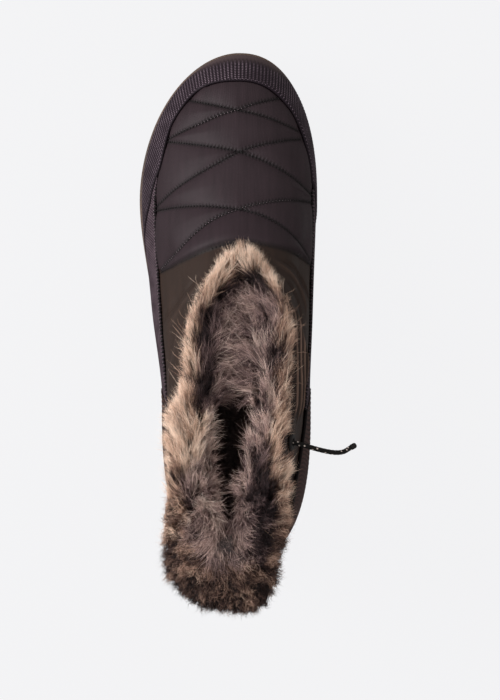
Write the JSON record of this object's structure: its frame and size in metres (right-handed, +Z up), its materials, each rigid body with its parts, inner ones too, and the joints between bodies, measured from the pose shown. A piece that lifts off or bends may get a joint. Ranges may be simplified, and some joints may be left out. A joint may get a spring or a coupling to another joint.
{
  "type": "winter boot",
  "caption": "Left pull-on winter boot with a quilted dark upper, ribbed rubber toe and heel guards, a thick faux fur collar, a short draw cord and a lugged sole.",
  "frame": {"origin": "middle of the boot's box, measured without its draw cord, on the floor that it stands on", "axes": "+Y from heel to toe, +X to the inner (medial) side of the left foot, +Z up"},
  "size_m": [0.1148, 0.2852, 0.1679],
  "materials": {
    "outsole": "matte black tread rubber",
    "midsole": "matte dark foam rubber",
    "insole": "dark felt",
    "upper": "quilted charcoal brown nylon",
    "rand": "finely ribbed satin rubber",
    "panel": "grey brown coated cloth",
    "fur": "brindled brown and tan long pile",
    "cord": "black braid with pale flecks",
    "moulding": "black moulded plastic"
  },
  "bodies": {
    "root": {"outsole": "outsole", "midsole": "midsole", "insole": "insole", "upper": "upper", "toe_rand": "rand", "heel_counter": "rand", "side_panel_medial": "panel", "side_panel_lateral": "panel", "fur_collar": "fur", "cord_eyelet": "moulding", "pull_cord": "cord", "cord_tip": "moulding"}
  },
  "joints": []
}
